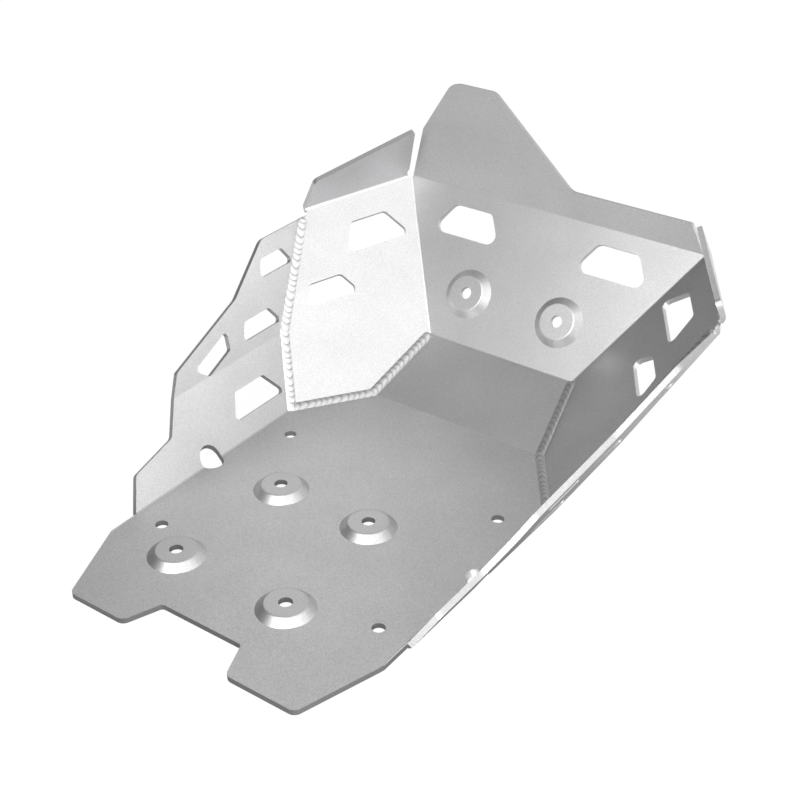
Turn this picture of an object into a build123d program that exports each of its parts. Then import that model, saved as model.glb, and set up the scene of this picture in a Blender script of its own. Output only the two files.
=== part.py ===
from build123d import *
import os
from math import atan2, cos, degrees, radians, sin, tan

os.makedirs("parts", exist_ok=True)

# Motorcycle skid plate: one laser-cut aluminium sheet, folded up and welded at its corners.
# X is across the machine, +Y is forward, +Z is up. The underside of the base lies on Z = 0.
# Panel sizes are taken on the inside faces, between the lines where those faces would meet.

# Sheet, folds and welds
sheet_t = 4.0
bend_r = 3.0
weld_r = 3.6
corner_r = 6.0

# Base
base_half_w = 115.5
rear_edge_y = -118.0
rear_corner_left = 89.5
rear_corner_right = 96.0
side_corner_y = -56.0
notch_y = -92.0
notch_half_w = 33.0
notch_mouth_half_w = 43.0

# Kick-up and front panel, one after the other in front of the base
kick_fold_y = 193.0
kick_len = 70.0
kick_slope = 24.5
front_len = 120.0
front_slope = 55.5

# Side walls: a lower panel that leans out and a steeper upper panel
wall_rear_y = -32.0
wall_low_len = 54.5
left_wall_low_slope = 56.0
left_wall_high_slope = 65.0
left_wall_high_len = 72.5
right_wall_low_slope = 60.0
right_wall_high_slope = 62.5
right_wall_high_len = 79.0
wall_foot_y = -16.5
wall_foot_h = 22.5
wall_sill_y = 25.5
wall_sill_h = 31.0
wall_step_y = 55.5
wall_step_h = 15.0
wall_knee_y = 134.5
wall_knee_h = 41.0
wall_peak_y = 183.0

# Corner wings, folded back from the front panel
wing_foot_y = 138.0
wing_foot_x = 77.0
wing_slope = 46.5
left_wing_top_fall = 9.7
right_wing_top_fall = 5.0

# Tabs folded up along the top edges; wing tabs as length, rear height and lean, front height and lean
tab_slope = 80.0
tab_strip_h = 20.5
tab_tall_h = 82.0
tab_shoulder_h = 40.5
tab_shoulder_x = -126.0
tab_peak_left_x = -103.5
tab_peak_right_x = -63.5
tab_ramp_foot_x = 15.5
tab_strip_end_x = 117.0
tab_gap = 2.4
wing_tab_fold = 67.0
left_wing_tab = (97.0, 27.0, 9.0, 49.5, 2.0)
right_wing_tab = (88.0, 12.0, 1.0, 25.0, 5.4)
relief_d = 5.0

# Mounting dimples, pressed upwards, and plain holes
dimple_d = 40.0
dimple_flat_d = 29.0
dimple_rise = 5.0
dimple_rim_r = 2.0
bolt_d = 9.5
mount_x = -13.5
rear_mount_y = -49.5
rear_mount_pitch = 94.0
front_mount_y = 49.5
front_mount_pitch = 77.5
panel_mount_x = -3.0
panel_mount_h = 40.0
panel_mount_pitch = 83.0
drain_d = 9.0
drain_x = 92.5
drain_rear_y = -30.5
drain_front_y = 109.0
fold_hole_d = 19.0
fold_hole_y = 47.0
fold_hole_up = 2.6

# Windows: middle of the lower edge (along, up), lower length, upper length, height, turn
wall_window_r = 3.0
wing_window_r = 4.5
front_window_r = 7.0
wall_low_window = (112.5, 14.6, 58.0, 32.5, 19.9, 0)
wall_high_windows = [
    (187.0, 45.6, 40.5, 25.5, 13.7, 0),
    (149.0, 8.6, 46.0, 29.0, 13.9, 0),
    (97.0, 4.6, 30.0, 46.0, 12.9, 18.5),
]
front_window = (65.7, 82.0, 65.0, 35.0, 25.0, 0)
left_wing_windows = [(-49.5, -46.7, 58.0, 31.0, 24.5, 0), (-104.0, -78.5, 47.5, 28.0, 18.0, 0)]
right_wing_windows = [(45.0, -44.6, 59.5, 32.0, 24.5, 0), (85.5, -77.0, 50.0, 28.0, 18.0, 0)]

# Reach of the solids that trim the sheet
spare = 5 * sheet_t
tray_top = kick_len + front_len + tab_tall_h


def panel(origin, heading, slope):
    """Inside face through origin: local Y climbs at slope towards heading, local X is level."""
    h, s = radians(heading), radians(slope)
    level = (sin(h), -cos(h), 0)
    inward = (-cos(h) * sin(s), -sin(h) * sin(s), cos(s))
    return Plane(origin=origin, x_dir=level, z_dir=inward)


def meet(*planes):
    """Point where three planes cross."""
    a, b, c = [p.z_dir for p in planes]
    da, db, dc = [p.z_dir.dot(p.origin) for p in planes]
    return (b.cross(c) * da + c.cross(a) * db + a.cross(b) * dc) / a.dot(b.cross(c))


def flip(plane):
    """The same panel on the right-hand side, its local X running the other way."""
    o, x, z = plane.origin, plane.x_dir, plane.z_dir
    return Plane(origin=(-o.X, o.Y, o.Z), x_dir=(x.X, -x.Y, -x.Z), z_dir=(-z.X, z.Y, z.Z))


# Panels of the centre, and the left-hand wing
floor = panel((0, 0, sheet_t), 90, 0)
kick = panel((0, kick_fold_y, sheet_t), 90, kick_slope)
front = panel(kick.from_local_coords((0, kick_len, 0)), 90, front_slope)
foot_run = (base_half_w - wing_foot_x, kick_fold_y - wing_foot_y)
wing_heading = degrees(atan2(foot_run[0], -foot_run[1]))
wing = panel((-wing_foot_x, kick_fold_y, sheet_t), wing_heading, wing_slope)

# Corners of the inside faces where the wing meets the centre panels
front_top = Plane(origin=front.from_local_coords((0, front_len, 0)), x_dir=front.x_dir, z_dir=front.y_dir)
foot_front = meet(floor, kick, wing)
knuckle = meet(kick, front, wing)
crown = meet(front, wing, front_top)


def tray_block(walls, outward, radius, reach):
    """Left half of the solid inside every panel, with the panels moved outward."""
    folds = ((floor, walls[0]), walls, (floor, kick), (kick, front), (front, wing))
    with BuildPart() as block:
        with Locations((0, rear_edge_y - reach, -sheet_t - reach)):
            Box(2 * tray_top, 3 * tray_top, tray_top + reach, align=(Align.MAX, Align.MIN, Align.MIN))
        for face in (floor, kick, front, *walls, wing):
            split(bisect_by=face.offset(-outward), keep=Keep.TOP)
        bends = []
        for fold in folds:
            pair = [face.offset(-outward) for face in fold]
            bends += [
                e for e in block.edges()
                if all(abs(face.to_local_coords(e @ end).Z) < 0.01 for face in pair for end in (0, 1))
            ]
        fillet(bends, radius)
    return block.part


def outline(corners):
    """Flat shape from corners given as (x, y, corner radius)."""
    with BuildSketch() as shape:
        with BuildLine():
            Polyline(*[(x, y) for x, y, r in corners], close=True)
        make_face()
        for x, y, r in corners:
            if r:
                fillet(shape.vertices().sort_by_distance((x, y))[0], r)
    return shape.sketch


def windows(face, openings, radius):
    """Rounded trapezoid openings, cut square through the sheet."""
    with BuildSketch(face) as shape:
        for x, y, lower, upper, height, turn in openings:
            with Locations(Location((x, y, 0), (0, 0, turn))):
                foot, head = lower / 2, upper / 2
                Polygon((-foot, 0), (foot, 0), (head, height), (-head, height), align=None)
        fillet(shape.vertices(), radius)
    extrude(shape.sketch, amount=2 * sheet_t, both=True, mode=Mode.SUBTRACT)


def trim(face, shape):
    """Remove shape from the sheet, square to a panel, leaving what stands inside the tray."""
    with BuildSketch(face.offset(bend_r / 2)) as waste:
        add(shape)
    extrude(waste.sketch, amount=-3 * sheet_t, mode=Mode.SUBTRACT)


def tab(fold_line, start, length, turn, shape):
    """Tab bent inwards by turn about a fold line, then cut to shape in its own plane."""
    setback = bend_r * tan(radians(turn / 2))
    rise = Vector(cos(radians(turn)), sin(radians(turn)))
    out = Vector(sin(radians(turn)), -cos(radians(turn))) * sheet_t
    tip = rise * tray_top
    foot = fold_line.from_local_coords((start - spare, 0, 0))
    section = Plane(foot, x_dir=fold_line.y_dir, z_dir=fold_line.x_dir)
    with BuildPart() as bent:
        with BuildSketch(section):
            with BuildLine():
                inner = CenterArc((-setback, bend_r), bend_r, -90, turn)
                outer = CenterArc((-setback, bend_r), bend_r + sheet_t, -90, turn)
                Polyline(inner @ 1, tip, tip + out, outer @ 1)
                Line(outer @ 0, inner @ 0)
            make_face()
        extrude(amount=length + 2 * spare)
        with BuildSketch(Plane(fold_line.location * Rotation(turn, 0, 0))):
            add(shape)
        extrude(amount=2 * spare, both=True, mode=Mode.INTERSECT)
    return bent.part


# Line of the wall's step, which runs on from the lower wall to the upper wall
wall_back = rear_edge_y - spare
step_slope = (wall_low_len + wall_step_h - wall_sill_h) / (wall_step_y - wall_sill_y)
low_exit_y = wall_sill_y + (wall_low_len + spare - wall_sill_h) / step_slope
high_entry_y = wall_step_y - (wall_step_h + spare) / step_slope

# Bend allowances of the tabs at the top folds
tab_fold = tab_slope - front_slope
front_setback = bend_r * tan(radians(tab_fold / 2))
wing_setback = bend_r * tan(radians(wing_tab_fold / 2))


def side_sheet(low_slope, high_slope, high_len, top_fall):
    """Left half of the folded sheet, and its wing's plane at the crown with X along the top fold."""
    wall_low = panel((-base_half_w, 0, sheet_t), 180, low_slope)
    wall_high = panel(wall_low.from_local_coords((0, wall_low_len, 0)), 180, high_slope)
    wall_top = Plane(origin=wall_high.from_local_coords((0, high_len, 0)), z_dir=wall_high.y_dir)
    foot_rear = meet(floor, wall_low, wing)
    wall_kink = meet(wall_low, wall_high, wing)
    wall_crown = meet(wall_high, wing, wall_top)
    wing_crown = Plane(origin=crown, x_dir=wing.x_dir, z_dir=wing.z_dir)
    wing_upper = Plane(wing_crown.location * Rotation(0, 0, top_fall))
    start = knuckle + (foot_front - knuckle).normalized() * weld_r
    stop = wall_crown + (wall_kink - wall_crown).normalized() * weld_r
    bead = [start, foot_front, foot_rear, wall_kink, stop]
    with BuildPart() as half:
        add(tray_block((wall_low, wall_high), sheet_t, bend_r + sheet_t, 0))
        add(tray_block((wall_low, wall_high), 0, bend_r, spare), mode=Mode.SUBTRACT)

        # Stepped outline of the wall, then the top edges of the wing and of the front panel
        trim(wall_low, outline([
            (wall_back, 0, 0),
            (wall_rear_y, 0, 0),
            (wall_foot_y, wall_foot_h, corner_r),
            (wall_sill_y, wall_sill_h, corner_r),
            (low_exit_y, wall_low_len + spare, 0),
            (wall_back, wall_low_len + spare, 0),
        ]))
        trim(wall_high, outline([
            (wall_back, -spare, 0),
            (high_entry_y, -spare, 0),
            (wall_step_y, wall_step_h, corner_r),
            (wall_knee_y, wall_knee_h, 2 * corner_r),
            (wall_peak_y, high_len, 2 * corner_r),
            (2 * tray_top, high_len, 0),
            (2 * tray_top, 2 * tray_top, 0),
            (wall_back, 2 * tray_top, 0),
        ]))
        trim(wing_upper, outline([
            (-2 * tray_top, -wing_setback, 0),
            (2 * tray_top, -wing_setback, 0),
            (2 * tray_top, 2 * tray_top, 0),
            (-2 * tray_top, 2 * tray_top, 0),
        ]))
        trim(front, outline([
            (-tray_top, front_len - front_setback, 0),
            (0, front_len - front_setback, 0),
            (0, 2 * tray_top, 0),
            (-tray_top, 2 * tray_top, 0),
        ]))

        # Openings of the wall, and the large hole across its foot
        windows(wall_low, [wall_low_window], wall_window_r)
        windows(wall_high, wall_high_windows, wall_window_r)
        fold_mid = wall_low.from_local_coords((fold_hole_y, fold_hole_up, 0))
        with Locations(Plane(fold_mid, z_dir=floor.z_dir + wall_low.z_dir)):
            Cylinder(fold_hole_d / 2, 8 * sheet_t, mode=Mode.SUBTRACT)

        # Weld along the edges of the wing
        for lower, upper in zip(bead, bead[1:]):
            with Locations(Plane(lower, z_dir=upper - lower)):
                Cylinder(weld_r, (upper - lower).length, align=(Align.CENTER, Align.CENTER, Align.MIN))
        with Locations(*bead):
            Sphere(weld_r)
    return half.part, wing_upper


left_half, left_wing_upper = side_sheet(
    left_wall_low_slope, left_wall_high_slope, left_wall_high_len, left_wing_top_fall
)
right_half, mirrored_wing_upper = side_sheet(
    right_wall_low_slope, right_wall_high_slope, right_wall_high_len, right_wing_top_fall
)
right_wing_upper = flip(mirrored_wing_upper)

# Outline of the rear of the base, with the notch between its two tabs
rear_outline = outline([
    (-base_half_w, wall_rear_y, 0),
    (-base_half_w, side_corner_y, corner_r),
    (-rear_corner_left, rear_edge_y, corner_r),
    (-notch_mouth_half_w, rear_edge_y, corner_r),
    (-notch_half_w, notch_y, corner_r / 2),
    (notch_half_w, notch_y, corner_r / 2),
    (notch_mouth_half_w, rear_edge_y, corner_r),
    (rear_corner_right, rear_edge_y, corner_r),
    (base_half_w, side_corner_y, corner_r),
    (base_half_w, wall_rear_y, 0),
])

# Tab over the front panel: tall on the left, a low strip on the right
front_fold = Plane(front_top.origin, x_dir=front.x_dir, z_dir=front.z_dir)
front_end_x = -crown.X - tab_gap
front_tab_outline = outline([
    (-front_end_x, -spare, 0),
    (-front_end_x, 0, 0),
    (tab_shoulder_x, tab_shoulder_h, corner_r),
    (tab_peak_left_x, tab_tall_h, 2 * corner_r),
    (tab_peak_right_x, tab_tall_h, 2 * corner_r),
    (tab_ramp_foot_x, tab_strip_h, 2 * corner_r),
    (tab_strip_end_x, tab_strip_h, corner_r / 2),
    (front_end_x, 0, 0),
    (front_end_x, -spare, 0),
])


def wing_tab(side, fold_line, length, rear_h, rear_lean, front_h, front_lean):
    """Tab over one wing: side is -1 for the left and 1 for the right."""
    rear_x, front_x = side * length, side * tab_gap
    shape = outline([
        (rear_x, -spare, 0),
        (rear_x, 0, 0),
        (rear_x - side * rear_lean, rear_h, corner_r),
        (front_x - side * front_lean, front_h, corner_r / 3),
        (front_x, 0, 0),
        (front_x, -spare, 0),
    ])
    return tab(fold_line, min(rear_x, front_x), length - tab_gap, wing_tab_fold, shape)


# Dimples: the underside follows the top at the sheet's thickness
dimple_angle = degrees(atan2(dimple_rise, (dimple_d - dimple_flat_d) / 2))
dimple_inset = sheet_t * tan(radians(dimple_angle / 2))
rear_mounts = [(mount_x + s * rear_mount_pitch / 2, rear_mount_y) for s in (-1, 1)]
front_mounts = [(mount_x + s * front_mount_pitch / 2, front_mount_y) for s in (-1, 1)]
panel_mounts = [(panel_mount_x + s * panel_mount_pitch / 2, panel_mount_h) for s in (-1, 1)]
dimples = [floor.location * Location((x, y, 0)) for x, y in rear_mounts + front_mounts]
dimples += [front.location * Location((x, y, 0)) for x, y in panel_mounts]

with BuildPart() as skid_plate:
    add(left_half)
    mirror(right_half, about=Plane.YZ)
    add(tab(front_fold, -front_end_x, 2 * front_end_x, tab_fold, front_tab_outline))
    add(wing_tab(-1, left_wing_upper, *left_wing_tab))
    add(wing_tab(1, right_wing_upper, *right_wing_tab))

    # Rear of the base
    with BuildSketch(floor):
        with Locations((0, wall_rear_y)):
            Rectangle(4 * base_half_w, -2 * rear_edge_y, align=(Align.CENTER, Align.MAX))
        add(rear_outline, mode=Mode.SUBTRACT)
    extrude(amount=spare, both=True, mode=Mode.SUBTRACT)

    # Windows of the front panel and of each wing
    x, *rest = front_window
    windows(front, [(-x, *rest), (x, *rest)], front_window_r)
    windows(left_wing_upper, left_wing_windows, wing_window_r)
    windows(right_wing_upper, right_wing_windows, wing_window_r)

    # Corner reliefs between the tabs
    for side in (-1, 1):
        with Locations(Plane((side * -crown.X, crown.Y, crown.Z), z_dir=front.z_dir)):
            Cylinder(relief_d / 2, 4 * sheet_t, mode=Mode.SUBTRACT)

    # Pressed dimples with their bolt holes
    with Locations(*dimples):
        Cone(dimple_d / 2, dimple_flat_d / 2, dimple_rise, align=(Align.CENTER, Align.CENTER, Align.MIN))
    with Locations(*[place * Location((0, 0, -sheet_t)) for place in dimples]):
        Cone(
            dimple_d / 2 - dimple_inset, dimple_flat_d / 2 - dimple_inset, dimple_rise,
            align=(Align.CENTER, Align.CENTER, Align.MIN), mode=Mode.SUBTRACT,
        )
    rims = skid_plate.edges().filter_by(GeomType.CIRCLE)
    fillet([e for e in rims if e.radius == dimple_flat_d / 2], dimple_rim_r)
    with Locations(*dimples):
        Cylinder(bolt_d / 2, 4 * sheet_t, mode=Mode.SUBTRACT)
    for y in (drain_rear_y, drain_front_y):
        with Locations((-drain_x, y, 0), (drain_x, y, 0)):
            Cylinder(drain_d / 2, 4 * sheet_t, mode=Mode.SUBTRACT)

skid_plate.part.label = "skid_plate"
export_step(skid_plate.part, "parts/skid_plate.step")
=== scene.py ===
# %% [markdown]
# This lesson dresses a motorcycle skid plate. The plate is one sheet of aluminium, cut by laser,
# folded into a tray and welded where the corner wings meet the base and the walls. Its solid is
# already right, so it is loaded as a fixed frame, and this script adds the finish, the weld ripples
# and the light.

# %% Load the folded sheet
import random
from math import radians, sin, cos, pi

import bmesh
import bpy
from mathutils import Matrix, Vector


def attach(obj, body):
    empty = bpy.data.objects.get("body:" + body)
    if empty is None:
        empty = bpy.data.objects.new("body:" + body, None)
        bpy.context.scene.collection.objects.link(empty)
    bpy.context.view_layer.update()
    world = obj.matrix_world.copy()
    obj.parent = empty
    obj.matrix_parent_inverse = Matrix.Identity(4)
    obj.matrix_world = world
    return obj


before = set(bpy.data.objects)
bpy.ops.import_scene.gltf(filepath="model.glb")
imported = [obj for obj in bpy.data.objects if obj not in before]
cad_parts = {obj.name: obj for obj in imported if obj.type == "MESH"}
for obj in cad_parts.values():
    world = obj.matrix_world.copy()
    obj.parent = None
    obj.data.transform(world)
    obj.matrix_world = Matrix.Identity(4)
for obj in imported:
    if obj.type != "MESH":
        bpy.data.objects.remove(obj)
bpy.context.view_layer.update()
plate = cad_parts["skid_plate"]
scene = bpy.context.scene

# %% [markdown]
# The camera stands where the photographer stood: to the right of the plate, behind it and above it.
# Its place was solved from the panel corners, so it is given as plain numbers, not aimed by eye.

# %% Camera
AZIMUTH = radians(35.47)
ELEVATION = radians(31.61)
CAMERA_PLACE = (0.4887, -0.5637, 0.5793)
lens = bpy.data.cameras.new("camera")
lens.sensor_width = 36.0
lens.lens = 62.68
lens.clip_start = 0.01
camera = bpy.data.objects.new("camera", lens)
camera.location = CAMERA_PLACE
camera.rotation_euler = (pi / 2 - ELEVATION, 0.0, AZIMUTH)
scene.collection.objects.link(camera)
scene.camera = camera
scene.view_settings.view_transform = "Standard"
print("camera at", tuple(camera.location))

# %% [markdown]
# Small helpers keep every node tree short: one adds a node with its settings, one joins two
# sockets, and one starts a material with an empty tree.

# %% Node helpers
def node(tree, kind, **settings):
    """Add a shader node; settings whose names are sockets set those sockets."""
    made = tree.nodes.new(kind)
    for key, value in settings.items():
        label = key.replace("_", " ")
        if label in made.inputs:
            made.inputs[label].default_value = value
        else:
            setattr(made, key, value)
    return made


def wire(tree, source, target):
    tree.links.new(source, target)


def empty_material(name):
    made = bpy.data.materials.new(name)
    made.use_nodes = True
    made.node_tree.nodes.clear()
    return made, made.node_tree


print("helpers ready")

# %% [markdown]
# The sheet has a fine grey grain, as bead blasting leaves it. A picture of grain could be wrapped
# round the tray, but noise worked out from the object's own coordinates has no seams at the folds,
# so the grain is made once as a group and used by both finishes.

# %% Blasted grain, shared by sheet and weld
NOISE_LOW = 0.3
NOISE_HIGH = 0.7
CLOUD_SCALE = 22.0
CLOUD_DEPTH = 0.03
GRAIN_SHINE = -0.05


def make_grain_group():
    group = bpy.data.node_groups.new("blasted_grain", "ShaderNodeTree")
    inputs = (("Colour", "NodeSocketColor"), ("Size", "NodeSocketFloat"),
              ("Contrast", "NodeSocketFloat"), ("Roughness", "NodeSocketFloat"),
              ("Depth", "NodeSocketFloat"))
    outputs = (("Colour", "NodeSocketColor"), ("Roughness", "NodeSocketFloat"),
               ("Normal", "NodeSocketVector"))
    for in_out, sockets in (("INPUT", inputs), ("OUTPUT", outputs)):
        for name, kind in sockets:
            group.interface.new_socket(name, in_out=in_out, socket_type=kind)
    start = node(group, "NodeGroupInput")
    end = node(group, "NodeGroupOutput")
    place = node(group, "ShaderNodeTexCoord")
    # Object coordinates are metres, so one over the grain size in metres is the noise scale
    scale = node(group, "ShaderNodeMath", operation="DIVIDE")
    scale.inputs[0].default_value = 1.0
    wire(group, start.outputs["Size"], scale.inputs[1])
    fine = node(group, "ShaderNodeTexNoise", Detail=3.0, Roughness=0.65)
    wire(group, place.outputs["Object"], fine.inputs["Vector"])
    wire(group, scale.outputs[0], fine.inputs["Scale"])
    cloud = node(group, "ShaderNodeTexNoise", Scale=CLOUD_SCALE, Detail=2.0)
    wire(group, place.outputs["Object"], cloud.inputs["Vector"])
    # Brightness: 1 plus the grain times contrast, times a faint cloudiness
    grain = node(group, "ShaderNodeMapRange", From_Min=NOISE_LOW, From_Max=NOISE_HIGH,
                 To_Min=-1.0, To_Max=1.0)
    wire(group, fine.outputs["Fac"], grain.inputs["Value"])
    gain = node(group, "ShaderNodeMath", operation="MULTIPLY_ADD")
    wire(group, grain.outputs[0], gain.inputs[0])
    wire(group, start.outputs["Contrast"], gain.inputs[1])
    gain.inputs[2].default_value = 1.0
    haze = node(group, "ShaderNodeMapRange", From_Min=NOISE_LOW, From_Max=NOISE_HIGH,
                To_Min=1.0 - CLOUD_DEPTH, To_Max=1.0 + CLOUD_DEPTH)
    wire(group, cloud.outputs["Fac"], haze.inputs["Value"])
    both = node(group, "ShaderNodeMath", operation="MULTIPLY")
    wire(group, gain.outputs[0], both.inputs[0])
    wire(group, haze.outputs[0], both.inputs[1])
    tint = node(group, "ShaderNodeVectorMath", operation="SCALE")
    wire(group, start.outputs["Colour"], tint.inputs[0])
    wire(group, both.outputs[0], tint.inputs["Scale"])
    wire(group, tint.outputs[0], end.inputs["Colour"])
    # Bright grains are a little smoother than dark ones
    rough = node(group, "ShaderNodeMath", operation="MULTIPLY_ADD", use_clamp=True)
    wire(group, grain.outputs[0], rough.inputs[0])
    rough.inputs[1].default_value = GRAIN_SHINE
    wire(group, start.outputs["Roughness"], rough.inputs[2])
    wire(group, rough.outputs[0], end.inputs["Roughness"])
    bump = node(group, "ShaderNodeBump", Strength=1.0)
    wire(group, start.outputs["Depth"], bump.inputs["Distance"])
    wire(group, fine.outputs["Fac"], bump.inputs["Height"])
    wire(group, bump.outputs[0], end.inputs["Normal"])
    return group


grain_group = make_grain_group()


def blasted_metal(name, colour, size, contrast, roughness, depth):
    """A metal whose colour, roughness and normal come through the grain group."""
    made, tree = empty_material(name)
    grain = node(tree, "ShaderNodeGroup", node_tree=grain_group)
    grain.inputs["Colour"].default_value = (*colour, 1.0)
    grain.inputs["Size"].default_value = size
    grain.inputs["Contrast"].default_value = contrast
    grain.inputs["Roughness"].default_value = roughness
    grain.inputs["Depth"].default_value = depth
    shader = node(tree, "ShaderNodeBsdfPrincipled", Metallic=1.0)
    wire(tree, grain.outputs["Colour"], shader.inputs["Base Color"])
    wire(tree, grain.outputs["Roughness"], shader.inputs["Roughness"])
    wire(tree, grain.outputs["Normal"], shader.inputs["Normal"])
    out = node(tree, "ShaderNodeOutputMaterial")
    wire(tree, shader.outputs[0], out.inputs["Surface"])
    return made, grain


sheet_metal, _ = blasted_metal("blasted_aluminium", (0.62, 0.62, 0.625), size=0.0009,
                               contrast=0.13, roughness=0.46, depth=0.00006)
plate.data.materials.clear()
plate.data.materials.append(sheet_metal)
print("finish on", plate.name)

# %% [markdown]
# The grooves between two scales of a weld are painted darker than their backs, as painted shade,
# so the weld's mesh carries a painted shade value, and the weld metal mixes its two greys by it.

# %% Weld metal
WELD_BACK = (0.8, 0.8, 0.8)
# Grey of the painted shade in the grooves between scales
WELD_SHADE_GREY = (0.3, 0.3, 0.305)
weld_metal, weld_grain = blasted_metal("weld_aluminium", WELD_BACK, size=0.0016,
                                       contrast=0.08, roughness=0.5, depth=0.00003)
tree = weld_metal.node_tree
# Painted shade: the mesh's painted shade value mixes the weld from its back grey to the shade grey
cut = node(tree, "ShaderNodeAttribute", attribute_name="painted_shade")
tone = node(tree, "ShaderNodeMix", data_type="RGBA")
tone.inputs["A"].default_value = (*WELD_BACK, 1.0)
tone.inputs["B"].default_value = (*WELD_SHADE_GREY, 1.0)
wire(tree, cut.outputs["Fac"], tone.inputs["Factor"])
wire(tree, tone.outputs["Result"], weld_grain.inputs["Colour"])
print("weld metal ready")

# %% [markdown]
# Each corner wing is welded in from the inside. The solid has a plain round there, but a hand-held
# torch leaves a row of overlapping scales. So each run is a closed tube laid over that round, and
# its radius rises and falls once for every scale. The rise is bent into a crescent by letting it
# lag at the flanks.

# %% Weld runs: paths and measures, in millimetres
MM = 0.001
BEAD_PATHS = {
    "left": [(-66.0, 256.7, 33.0), (-77.0, 193.0, 4.0), (-115.5, 138.0, 4.0),
             (-146.0, 169.2, 49.2), (-176.6, 234.2, 114.9)],
    "right": [(66.0, 256.7, 33.0), (77.0, 193.0, 4.0), (115.5, 138.0, 4.0),
              (142.8, 177.2, 51.2), (179.2, 241.0, 121.3)],
}
# How much painted shade darkens each run, 0 to 1, from the nose down to the base and up the wall
RUN_PAINTED_SHADE = {"left": (0.4, 0.45, 0.0, 0.0), "right": (0.6, 0.4, 0.6, 0.6)}
TRAY_MIDDLE = Vector((0.0, 110.0, 170.0))
BEAD_LOW = 3.66
BEAD_HIGH = 4.0
BEAD_LIFT = 0.15
RING_STEP = 0.4
RING_SIDES = 28
# Length of one scale, how many scales its flanks lag, and how far its spacing wanders
BEAD_SCALE = 5.4
BEAD_LAG = 1.1
BEAD_WANDER = 0.2
WANDER_RATE = 0.23
# A power under 1 makes each scale rise quickly and fall slowly
SCALE_SKEW = 0.5
GROOVE_SHADE_SHARPNESS = 2
# How far the shading leans towards the middle of the tray
BEAD_FLATTEN = 1.0


def scale_height(turn):
    """Height of one weld scale, 0 to 1: a quick rise and a slow fall."""
    return sin(pi * (turn % 1.0) ** SCALE_SKEW)


def weld_run(bm, painted_shade, lean, start, end, run_shade, chance):
    """One closed, rippled tube from start to end, rounded at both ends."""
    along = (end - start).normalized()
    middle = (start + end) / 2
    rise = TRAY_MIDDLE - middle
    rise = (rise - along * rise.dot(along)).normalized()
    side = along.cross(rise)
    length = (end - start).length
    steps = round((length + 2 * BEAD_LOW) / RING_STEP)
    phase, sway = chance.random(), chance.uniform(0.0, 2 * pi)
    rings = []
    for i in range(1, steps):
        s = -BEAD_LOW + (length + 2 * BEAD_LOW) * i / steps
        over = max(-s, s - length, 0.0) / BEAD_LOW
        taper = (1.0 - over * over) ** 0.5
        centre = start + along * s + rise * BEAD_LIFT
        ring = []
        for k in range(RING_SIDES):
            angle = 2 * pi * k / RING_SIDES
            lag = BEAD_LAG * (1.0 - cos(angle))
            turn = s / BEAD_SCALE + phase - lag + BEAD_WANDER * sin(WANDER_RATE * s + sway)
            height = scale_height(turn)
            radius = taper * (BEAD_LOW + (BEAD_HIGH - BEAD_LOW) * height)
            spot = centre + (rise * cos(angle) + side * sin(angle)) * radius
            vert = bm.verts.new(spot * MM)
            # Painted shade: darker in the grooves between scales, plus the whole run's painted
            # shade
            vert[painted_shade] = run_shade + (1.0 - run_shade) * (1.0 - height) ** GROOVE_SHADE_SHARPNESS
            vert[lean] = rise
            ring.append(vert)
        rings.append(ring)
    for near, far in zip(rings, rings[1:]):
        for k in range(RING_SIDES):
            j = (k + 1) % RING_SIDES
            bm.faces.new((near[k], near[j], far[j], far[k]))
    for ring, tip in ((rings[0], start - along * BEAD_LOW), (rings[-1], end + along * BEAD_LOW)):
        point = bm.verts.new((tip + rise * BEAD_LIFT) * MM)
        point[lean] = rise
        for k in range(RING_SIDES):
            bm.faces.new((ring[k], ring[(k + 1) % RING_SIDES], point))


print("weld runs per side", len(BEAD_PATHS["left"]) - 1)

# %% [markdown]
# Both sides are laid the same way. A real weld wets out onto both sheets, so its shading leans from
# the tube's normal towards the middle of the tray.

# %% Lay the weld runs
chance = random.Random(11)
for side_name, points in BEAD_PATHS.items():
    corners = [Vector(point) for point in points]
    corners[0] += (corners[1] - corners[0]).normalized() * BEAD_LOW
    corners[-1] += (corners[-2] - corners[-1]).normalized() * BEAD_HIGH
    bead_bm = bmesh.new()
    painted_shade = bead_bm.verts.layers.float.new("painted_shade")
    lean = bead_bm.verts.layers.float_vector.new("lean")
    # Each run is laid with its own painted shade
    for lower, upper, run_shade in zip(corners, corners[1:], RUN_PAINTED_SHADE[side_name]):
        weld_run(bead_bm, painted_shade, lean, lower, upper, run_shade, chance)
    bmesh.ops.recalc_face_normals(bead_bm, faces=bead_bm.faces[:])
    for face in bead_bm.faces:
        face.smooth = True
    bead_bm.normal_update()
    leaned = []
    for vert in bead_bm.verts:
        share = BEAD_FLATTEN * (1.0 + vert.normal.dot(vert[lean])) / 2
        leaned.append((vert.normal + vert[lean] * share).normalized())
    bead_mesh = bpy.data.meshes.new("weld_" + side_name)
    bead_bm.to_mesh(bead_mesh)
    bead_bm.free()
    bead_mesh.normals_split_custom_set_from_vertices(leaned)
    bead_mesh.materials.append(weld_metal)
    bead = bpy.data.objects.new("weld_" + side_name, bead_mesh)
    scene.collection.objects.link(bead)
    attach(bead, "root")
    print(bead.name, len(bead_mesh.polygons), "faces")

# %% [markdown]
# The floor is white and the plate stands on it. Most of the brightness that the camera sees there
# is the floor's own, so that it stays white, and the rest is lit, so that it takes a soft shadow.
# In the metal's reflections the floor is dim next to the plate, which shades it, and white further
# out.

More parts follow.
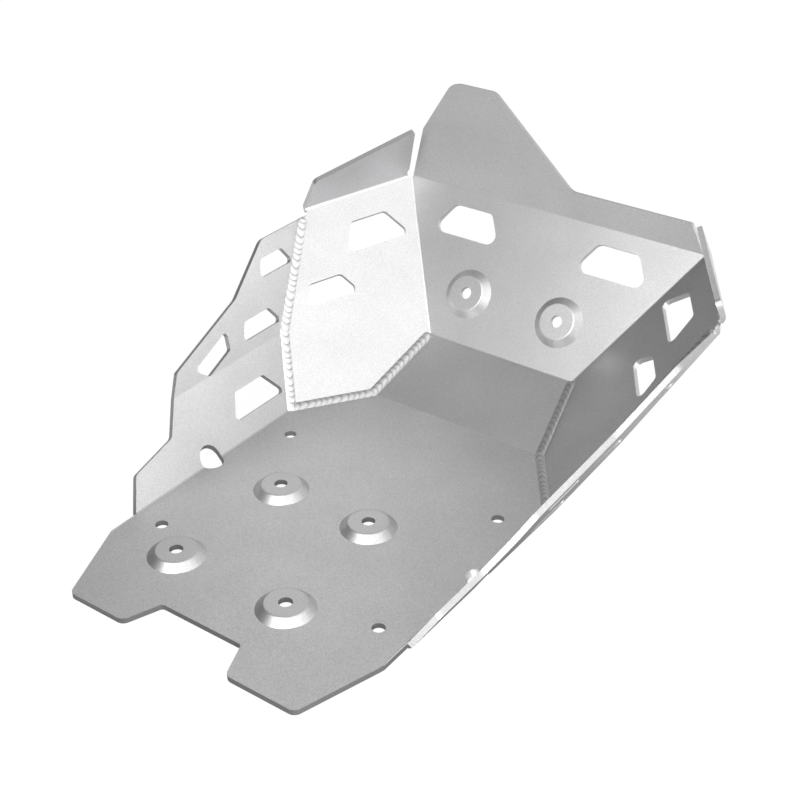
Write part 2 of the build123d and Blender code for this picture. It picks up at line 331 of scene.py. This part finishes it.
# %% Floor
FLOOR_HALF = 6.0
SHADED_TO = 0.12
CLEAR_FROM = 0.55
SHADED_GLOW = 0.12
CAMERA_GLOW = 1.04
GLOW_SHARE = 0.93
floor_mesh = bpy.data.meshes.new("floor")
floor_bm = bmesh.new()
bmesh.ops.create_grid(floor_bm, x_segments=1, y_segments=1, size=FLOOR_HALF)
floor_bm.to_mesh(floor_mesh)
floor_bm.free()
floor = bpy.data.objects.new("floor", floor_mesh)
scene.collection.objects.link(floor)
floor_paint, tree = empty_material("studio_floor")
place = node(tree, "ShaderNodeTexCoord")
reach = node(tree, "ShaderNodeVectorMath", operation="LENGTH")
wire(tree, place.outputs["Object"], reach.inputs[0])
shaded = node(tree, "ShaderNodeMapRange", From_Min=SHADED_TO, From_Max=CLEAR_FROM,
              To_Min=SHADED_GLOW, To_Max=1.0)
wire(tree, reach.outputs["Value"], shaded.inputs["Value"])
path = node(tree, "ShaderNodeLightPath")
bright = node(tree, "ShaderNodeMix", data_type="FLOAT")
bright.inputs["B"].default_value = CAMERA_GLOW
wire(tree, path.outputs["Is Camera Ray"], bright.inputs["Factor"])
wire(tree, shaded.outputs[0], bright.inputs["A"])
glow = node(tree, "ShaderNodeEmission")
wire(tree, bright.outputs[0], glow.inputs["Strength"])
lit = node(tree, "ShaderNodeBsdfDiffuse", Color=(0.85, 0.85, 0.85, 1.0))
seen = node(tree, "ShaderNodeMath", operation="MAXIMUM")
wire(tree, path.outputs["Is Camera Ray"], seen.inputs[0])
wire(tree, path.outputs["Is Glossy Ray"], seen.inputs[1])
share = node(tree, "ShaderNodeMath", operation="MULTIPLY")
share.inputs[1].default_value = GLOW_SHARE
wire(tree, seen.outputs[0], share.inputs[0])
blend = node(tree, "ShaderNodeMixShader")
wire(tree, share.outputs[0], blend.inputs[0])
wire(tree, lit.outputs[0], blend.inputs[1])
wire(tree, glow.outputs[0], blend.inputs[2])
out = node(tree, "ShaderNodeOutputMaterial")
wire(tree, blend.outputs[0], out.inputs["Surface"])
floor_mesh.materials.append(floor_paint)
print("floor size", 2 * FLOOR_HALF)

# %% [markdown]
# Metal shows the room it stands in, so the room is shaded: brightest on the right, dim on the left,
# a little brighter ahead of the nose than behind the plate, and a little dimmer overhead. The
# camera itself sees white.

# %% Room
ROOM_LEVEL = 0.56
ROOM_SLOPE = (0.42, 0.16, -0.1)
world = bpy.data.worlds.new("studio")
world.use_nodes = True
scene.world = world
tree = world.node_tree
tree.nodes.clear()
where = node(tree, "ShaderNodeTexCoord")
slope = node(tree, "ShaderNodeVectorMath", operation="DOT_PRODUCT")
slope.inputs[1].default_value = ROOM_SLOPE
wire(tree, where.outputs["Generated"], slope.inputs[0])
level = node(tree, "ShaderNodeMath", operation="ADD")
level.inputs[1].default_value = ROOM_LEVEL
wire(tree, slope.outputs["Value"], level.inputs[0])
path = node(tree, "ShaderNodeLightPath")
pick = node(tree, "ShaderNodeMix", data_type="FLOAT")
pick.inputs["B"].default_value = 1.0
wire(tree, path.outputs["Is Camera Ray"], pick.inputs["Factor"])
wire(tree, level.outputs[0], pick.inputs["A"])
back = node(tree, "ShaderNodeBackground", Color=(1.0, 1.0, 1.0, 1.0))
wire(tree, pick.outputs[0], back.inputs["Strength"])
out = node(tree, "ShaderNodeOutputWorld")
wire(tree, back.outputs[0], out.inputs["Surface"])
print("room level", ROOM_LEVEL)

# %% [markdown]
# Five soft lamps do the rest: a large one high on the right for the left wing, one behind the plate
# for the nose panel, two low ones on the right for the side walls and the left wing tab, and one
# far to the left that brightens the middle of the base.

# %% Lamps
TARGET = Vector((0.0, 0.12, 0.05))
# Name, direction from the plate, distance in metres, side in metres, watts
LAMPS = [
    ("lamp_high_right", (0.55, -0.03, 0.83), 2.0, 1.3, 7.5),
    ("lamp_behind", (0.10, -0.75, 0.65), 2.0, 0.9, 25.0),
    ("lamp_right", (0.75, 0.62, 0.22), 2.2, 1.2, 7.0),
    ("lamp_low_right", (0.88, -0.30, 0.16), 2.2, 1.4, 22.0),
    ("lamp_far_left", (-0.53, 0.52, 0.67), 2.0, 0.6, 1.8),
]
for name, direction, distance, size, watts in LAMPS:
    data = bpy.data.lights.new(name, "AREA")
    data.size = size
    data.energy = watts
    lamp = bpy.data.objects.new(name, data)
    aim = Vector(direction).normalized()
    lamp.location = TARGET + aim * distance
    lamp.rotation_euler = aim.to_track_quat("Z", "Y").to_euler()
    scene.collection.objects.link(lamp)
print("lamps", [name for name, *_ in LAMPS])
